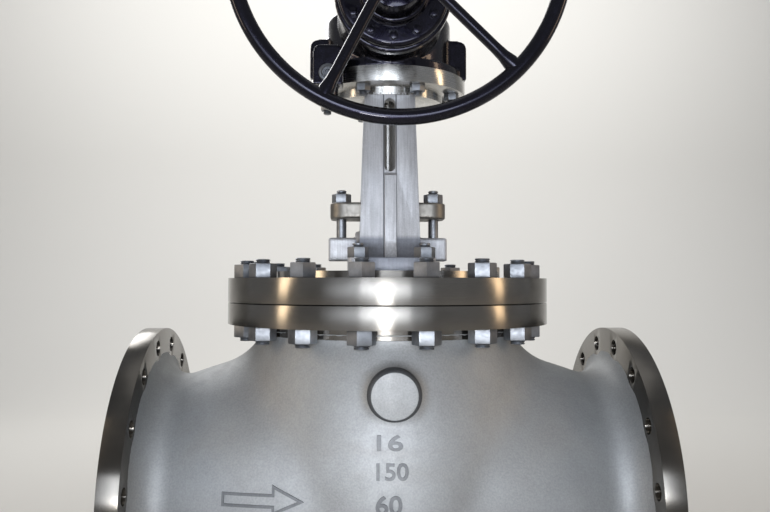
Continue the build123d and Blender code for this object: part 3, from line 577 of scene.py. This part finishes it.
# Bolting, in real sizes. The thread on the short ends above the nuts shows at this pitch.
coverNut = {"flats": 41.3, "height": 25, "chamfer": 1.9, "stud": 25.4, "proud": 7, "reach": -30, "pitch": 3.2,
            "level": 393, "underLevel": 310.5}
glandNut = {"flats": 32, "height": 19, "chamfer": 1.5, "stud": 19, "proud": 7, "reach": -90, "pitch": 2.5,
            "level": 535}
footNut = {"flats": 32, "height": 19, "chamfer": 1.5, "stud": 20, "proud": 7, "reach": -42, "pitch": 2.5,
           "level": 427}
topNut = {"flats": 24, "height": 13, "chamfer": 1.2, "stud": 16, "proud": 7, "reach": -28, "pitch": 2.0, "level": 738}
legNut = {"flats": 19, "height": 10, "chamfer": 1.0, "stud": 12, "proud": 4, "reach": 0, "pitch": 1.75, "level": 702}
lidScrew = {"flats": 13, "height": 8, "chamfer": 0.8, "stud": 0, "level": 238}
glandStuds = [(-88, 0), (88, 0)]
footStuds = [(x, y) for x in (-57, 57) for y in (-164, 164)]
lidScrews = {"count": 12, "circle": 152, "startDeg": 0}

topTurns = {8: 20, 9: 7, 10: 34, 11: 30, 12: 25, 13: -9, 14: -12, 15: 20}  # degrees, front nuts, left to right
underTurns = {8: 24, 9: 7, 10: 4, 11: 12, 12: -5, 13: -9, 14: -12, 15: 18}
bolts = ringOfNuts(coverNut, bonnetStuds, coverNut["level"], turns=topTurns)
under = ringOfNuts(coverNut, bonnetStuds, coverNut["underLevel"], down=True, turns=underTurns)
bolts.from_mesh(toMesh(under, "under"))
addPiece("bonnetBolts", bolts, "valve", nutFinish, ["bonnet_studs"])


def nutsAt(fastener, spots, down=False):
    bm = bmesh.new()
    mesh = nutMesh(fastener)
    tilt = Matrix.Rotation(math.pi, 4, "X") if down else Matrix()
    for x, y in spots:
        spot = Matrix.Translation((x / 1000, y / 1000, fastener["level"] / 1000))
        stamp(bm, mesh, upright @ spot @ tilt @ Matrix.Rotation(math.radians(rng.uniform(-9, 9)), 4, "Z"))
    return bm


addPiece("glandBolts", nutsAt(glandNut, glandStuds), "valve", nutFinish, ["gland_studs"])
addPiece("yokeFootBolts", nutsAt(footNut, footStuds), "valve", nutFinish, ["yoke_studs"])
addPiece("operatorBolts", ringOfNuts(topNut, operatorStuds, topNut["level"], down=True), "valve",
         nutFinish, ["gear_bolts"])
addPiece("plugBoxBolt", nutsAt(legNut, [(plugBoxX, plugBoxY)], down=True), "valve", nutFinish,
         ["leg_bolt"])
addPiece("coverScrews", ringOfNuts(lidScrew, lidScrews, lidScrew["level"], place=alongShaft), "valve",
         enamelFinish, ["cover_screws"])
print("bolting added")

# Bevel gear operator: one casting with its horn, lugs and plug box
gearShell = {
    "case": [(41, 766), (140, 766), (140, 784), (120, 784), (120, 874), (118.7, 879), (115, 882.7), (110, 884),
             (96, 884), (92, 920), (90, 932), (86.8, 943.6), (82.3, 955), (76.6, 965.6), (69.8, 975.8), (62, 985),
             (41, 985)],
    "horn": [(0, 60), (96, 60), (82, 202), (98, 202), (98, 222), (0, 222)],
    "lug": {"x": 117, "width": 60, "depth": 90, "low": 766, "high": 840, "corner": 16},
    "arm": {"x": plugBoxX, "y": -80, "width": 52, "depth": 160, "low": 766, "high": 784},
    "box": {"x": plugBoxX, "y": plugBoxY, "width": 52, "depth": 36, "low": 727, "high": 797, "corner": 14},
    "leg": {"x": plugBoxX, "y": plugBoxY, "r": 17.5, "low": 702, "high": 745},
    "voxelMm": 2.5, "smoothTimes": 2,
}


def blockMesh(block):  # its top corners are rounded as seen along y
    bm = bmesh.new()
    bmesh.ops.create_cube(bm, size=1)
    bmesh.ops.scale(bm, verts=bm.verts, vec=(block["width"] / 1000, block["depth"] / 1000,
                                             (block["high"] - block["low"]) / 1000))
    if "corner" in block:
        top = [e for e in bm.edges if abs(e.verts[0].co.y - e.verts[1].co.y) > 1e-6 and e.verts[0].co.z > 0]
        bmesh.ops.bevel(bm, geom=top, offset=block["corner"] / 1000, offset_type="OFFSET", affect="EDGES",
                        segments=6, profile=0.5, material=-1)
    bmesh.ops.translate(bm, verts=bm.verts, vec=(block["x"] / 1000, block.get("y", 0) / 1000,
                                                 pipeAxis + (block["low"] + block["high"]) / 2000))
    return toMesh(bm, "block")


def addGearShell(size):
    bm = turned(size["case"], upright, 96)
    stamp(bm, toMesh(turned(size["horn"], alongShaft, 96), "horn"), Matrix())
    for block in ({**size["lug"], "x": -size["lug"]["x"]}, size["lug"], size["arm"], size["box"]):
        stamp(bm, blockMesh(block), Matrix())
    leg = size["leg"]
    bmesh.ops.create_cone(bm, cap_ends=True, cap_tris=False, segments=32, radius1=leg["r"] / 1000,
                          radius2=leg["r"] / 1000, depth=(leg["high"] - leg["low"]) / 1000,
                          matrix=upright @ Matrix.Translation((leg["x"] / 1000, leg["y"] / 1000,
                                                               (leg["low"] + leg["high"]) / 2000)))
    soft = remeshed(bm, size["voxelMm"], size["smoothTimes"])
    return addPiece("gearShell", soft, "valve", enamelFinish, ["gear_case", "gear_base"],
                    creaseDeg=60)


addGearShell(gearShell)
print("gear shell cast")

inputLid = {
    "profile": [(22.1, 222), (93, 222), (93, 230), (92.4, 233.1), (90.7, 235.7), (88.1, 237.4), (85, 238), (60, 238),
                (58, 239.5), (58, 247), (57.6, 248.9), (56.5, 250.5), (54.9, 251.6), (53, 252), (50.5, 265),
                (46.6, 287), (45.5, 289.2), (43.5, 290), (22.1, 290)],
}
addPiece("inputLid", turned(inputLid["profile"], alongShaft, 96), "valve", enamelFinish,
         ["input_cover"])

sidePlug = {  # ring headed plug with a round socket
    "level": 746.5,
    "profile": [(0, 160), (16, 160), (16, 163.5), (14.8, 165.2), (11.6, 166), (9.8, 164.2), (7.8, 164.2), (7, 166),
                (5.2, 166), (4.6, 161.5), (0, 161.5)],
}
addPiece("sidePlug", turned(sidePlug["profile"], facingFront(plugBoxX, sidePlug["level"]), 48), "valve",
         plugFinish, ["side_plug"])

stemCover = {
    "tube": [(38, 985), (60, 985), (60, 993.5), (58.5, 995), (44, 995), (42, 997), (42, 1190), (38, 1190)],
    "cap": [(0, 1190), (46, 1190), (46, 1202), (42, 1206), (0, 1206)],
    "bevelMm": 0.6,
}
addPiece("stemCover", turned(stemCover["tube"], upright, 96), "valve", enamelFinish,
         ["stem_protector"])
addPiece("stemCoverCap", turned(stemCover["cap"], upright, 96), "valve", enamelFinish,
         ["protector_cap"], stemCover["bevelMm"])
print("operator fitted")

# Handwheel: round rim, five spokes that flare into it, and a turned hub
wheel = {
    "rimCircle": 242, "rimR": 12, "plane": 394, "dish": 12, "count": 5, "turnDeg": 27,
    "spoke": [(0, 24), (17, 24), (12, 40), (9.2, 58), (8.5, 80), (8.5, 196), (9.4, 214), (12, 228), (11, 242),
              (0, 242)],
    "hub": [(22.1, 352), (31, 352), (36, 357), (36, 400), (31, 408), (27, 412), (22.1, 412)],
}


def addWheel(size):
    bm = bmesh.new()
    ring = bmesh.ops.create_circle(bm, cap_ends=False, segments=28, radius=size["rimR"] / 1000,
                                   matrix=Matrix.Translation((size["rimCircle"] / 1000, 0, size["plane"] / 1000))
                                   @ Matrix.Rotation(math.radians(90), 4, "X"))
    bmesh.ops.spin(bm, geom=ring["verts"] + bm.edges[:], cent=(0, 0, 0), axis=(0, 0, 1), dvec=(0, 0, 0),
                   angle=2 * math.pi, steps=160, use_merge=True)
    bmesh.ops.remove_doubles(bm, verts=bm.verts, dist=1e-6)
    bmesh.ops.recalc_face_normals(bm, faces=bm.faces)
    bmesh.ops.transform(bm, matrix=alongShaft, verts=bm.verts)
    stamp(bm, toMesh(turned(size["hub"], alongShaft, 64), "hub"), Matrix())
    spoke = toMesh(turned(size["spoke"], Matrix(), 24), "spoke")
    centre = alongShaft @ Vector((0, 0, (size["plane"] - size["dish"]) / 1000))
    for n in range(size["count"]):
        turn = math.radians(size["turnDeg"] + 360 * n / size["count"])
        outward = Vector((-math.sin(turn), -size["dish"] / size["rimCircle"], -math.cos(turn))).normalized()
        stamp(bm, spoke, Matrix.Translation(centre) @ outward.to_track_quat("Z", "Y").to_matrix().to_4x4())
    return addPiece("wheelFrame", bm, "handwheel", enamelFinish, ["handwheel"], creaseDeg=40)


addWheel(wheel)
shaftEnd = {
    "shaft": [(0, 120), (22, 120), (22, 421), (20, 424), (0, 424)],
    "cap": [(0, 424), (19, 424), (19, 433.5), (17, 436), (9.5, 436), (8.5, 430), (0, 430)],
}
addPiece("inputShaft", turned(shaftEnd["shaft"], alongShaft, 64), "handwheel", inputFinish,
         ["input_shaft"])
addPiece("shaftCap", turned(shaftEnd["cap"], alongShaft, 48), "handwheel", nutFinish, ["shaft_nut"])
print("handwheel made")

# Raised marks cast on the front of the body: plain numbers and a flow arrow, outlined
marks = {
    "numbers": [("16", -7.6, 137, 41, 24), ("150", -4, 94, 50, 26), ("60", -9.5, 44, 41, 29)],  # place and size
    "arrow": [(-273, 31.5), (-273, 52.7), (-192, 52.7), (-192, 66.8), (-141, 42.5), (-192, 20.5), (-192, 31.5)],
    "bold": 0.018,  # of the letter's own unit
    "stroke": 4.0, "raise": 2.8, "sink": 3.0, "spacing": 5.0, "frontY": -600.0,
}


def addRaised(name, flat, size):  # flat faces in x and z are laid on the casting's front and given thickness
    while True:
        long = [e for e in flat.edges if e.calc_length() > size["spacing"] / 1000]
        if not long:
            break
        bmesh.ops.subdivide_edges(flat, edges=long, cuts=1)
        bmesh.ops.triangulate(flat, faces=flat.faces[:])
    skin = BVHTree.FromPolygons([v.co for v in bodyCasting.data.vertices],
                                [p.vertices[:] for p in bodyCasting.data.polygons])
    for v in flat.verts:
        hit = skin.ray_cast(Vector((v.co.x, size["frontY"] / 1000, v.co.z)), Vector((0, 1, 0)))[0]
        v.co.y = hit.y + size["sink"] / 1000
    raised = bmesh.ops.extrude_face_region(flat, geom=flat.faces[:])
    tops = [g for g in raised["geom"] if isinstance(g, bmesh.types.BMVert)]
    bmesh.ops.translate(flat, verts=tops, vec=(0, -(size["sink"] + size["raise"]) / 1000, 0))
    bmesh.ops.recalc_face_normals(flat, faces=flat.faces)
    return addPiece(name, flat, "valve", raisedMarkShadeFinish, creaseDeg=50)


def addMarks(size):
    for number, (text, x, level, width, height) in enumerate(size["numbers"]):
        data = bpy.data.curves.new("numeral", "FONT")
        data.body = text
        data.align_x = "CENTER"
        data.align_y = "CENTER"
        data.offset = size["bold"]
        letter = newObject("numeral", data)
        flat = bmesh.new()
        flat.from_mesh(evaluated(letter))
        bpy.data.objects.remove(letter)
        low, high = ([f(v.co[i] for v in flat.verts) for i in (0, 1)] for f in (min, max))
        bmesh.ops.translate(flat, verts=flat.verts, vec=(-(low[0] + high[0]) / 2, -(low[1] + high[1]) / 2, 0))
        bmesh.ops.scale(flat, verts=flat.verts, vec=(width / 1000 / (high[0] - low[0]),
                                                     height / 1000 / (high[1] - low[1]), 1))
        bmesh.ops.transform(flat, verts=flat.verts, matrix=facingFront(x, level))
        bmesh.ops.remove_doubles(flat, verts=flat.verts, dist=1e-5)
        addRaised(f"castNumber{number + 1}", flat, size)
    flat = bmesh.new()
    outline = flat.faces.new([flat.verts.new((x / 1000, 0, pipeAxis + z / 1000)) for x, z in size["arrow"]])
    flat.normal_update()
    bmesh.ops.inset_region(flat, faces=[outline], thickness=size["stroke"] / 1000, use_boundary=True,
                           use_even_offset=True)
    bmesh.ops.delete(flat, geom=[outline], context="FACES")
    addRaised("flowArrow", flat, size)


addMarks(marks)
print("marks raised")

# Nodes that stay as they are, with their finishes
for node, finish in (("seat_ring", bonnetFinish), ("disc", bonnetFinish), ("disc_nut", nutFinish),
                     ("gland_follower", bonnetFinish), ("packing", gasketFinish), ("bonnet_gasket", gasketFinish)):
    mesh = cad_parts[node].data
    mesh.materials.clear()
    mesh.materials.append(finish)

# Plain pale floor and backdrop in one sweep, and soft lamps, all in metres
studio = {
    "floor": "DCDAD5", "halfWidth": 9.0, "front": -7.0, "back": 4.2, "top": 6.5, "bend": 1.6, "bendSteps": 24,
    "world": "C9CCD2", "worldStrength": 0.4,
    "lamps": [  # name, place, looks at, width, height, watts, beam in degrees, colour
        ("frontBox", (-0.11, -1.75, 0.5), (0, 0, 0.42), 0.2, 0.16, 1.3, 70, "FFFFFF"),
        ("glowPanel", (-0.15, -2.3, 0.85), (0, 0, 0.55), 1.3, 0.7, 3.2, 80, "EAF1FA"),
        ("wideGlow", (-0.4, -2.4, 0.85), (0, 0, 0.55), 3.6, 0.7, 6.6, 80, "DEE7F5"),
        ("leftWindow", (-3.6, -0.9, 1.6), (0, 0, 0.6), 0.5, 2.4, 8.0, 100, "FFE6C4"),
        ("rightWindow", (3.7, -0.8, 1.6), (0, 0, 0.6), 0.5, 2.4, 6.5, 100, "FFDDB2"),
        ("rearWindow", (-1.8, 3.2, 3.0), (0, 0, 0.7), 1.4, 1.6, 16.0, 110, "FFFFFF"),
        ("roofLight", (0.2, 0.2, 4.4), (0, 0, 0.6), 3.0, 3.0, 12.0, 180, "FFFFFF"),
        ("backdropLight", (0, 1.9, 3.4), (0, 4.2, 2.2), 5.0, 0.8, 110.0, 180, "FFFFFF"),
    ],
}


def addStudio(size):
    bm = bmesh.new()
    edge = bm.edges.new([bm.verts.new((side * size["halfWidth"], size["front"], 0)) for side in (-1, 1)])
    bmesh.ops.extrude_edge_only(bm, edges=[edge])
    bm.verts.ensure_lookup_table()
    far = bm.verts[2:4]
    bmesh.ops.translate(bm, verts=far, vec=(0, size["back"] - size["bend"] - size["front"], 0))
    farEdge = [e for e in bm.edges if all(v in far for v in e.verts)]
    made = bmesh.ops.spin(bm, geom=farEdge + far, cent=(0, size["back"] - size["bend"], size["bend"]),
                          axis=(1, 0, 0), dvec=(0, 0, 0), angle=math.pi / 2, steps=size["bendSteps"],
                          use_merge=False)
    last = [g for g in made["geom_last"] if isinstance(g, bmesh.types.BMEdge)]
    up = bmesh.ops.extrude_edge_only(bm, edges=last)
    bmesh.ops.translate(bm, verts=[g for g in up["geom"] if isinstance(g, bmesh.types.BMVert)],
                        vec=(0, 0, size["top"] - size["bend"]))
    bmesh.ops.recalc_face_normals(bm, faces=bm.faces)
    for face in bm.faces:
        face.smooth = True
    floor = newObject("studioFloor", toMesh(bm, "studioFloor"))
    material, _, shader, _ = startMaterial("paleStudioPaper", Roughness=0.9)  # matt, takes soft shadows only
    shader.inputs["Base Color"].default_value = hexColour(size["floor"])
    floor.data.materials.append(material)
    world = bpy.data.worlds.new("studioAir")
    world.use_nodes = True
    air = world.node_tree.nodes["Background"]
    air.inputs[0].default_value = hexColour(size["world"])
    air.inputs[1].default_value = size["worldStrength"]
    bpy.context.scene.world = world
    for name, spot, target, width, height, watts, beamDeg, shade in size["lamps"]:
        light = bpy.data.lights.new(name, "AREA")
        light.shape = "RECTANGLE"
        light.size = width
        light.size_y = height
        light.energy = watts
        light.spread = math.radians(beamDeg)
        light.color = hexColour(shade)[:3]
        aim = (Vector(target) - Vector(spot)).to_track_quat("-Z", "Y").to_matrix().to_4x4()
        newObject(name, light).matrix_world = Matrix.Translation(spot) @ aim


addStudio(studio)
bpy.context.scene.view_settings.view_transform = "Standard"
print("studio lit")
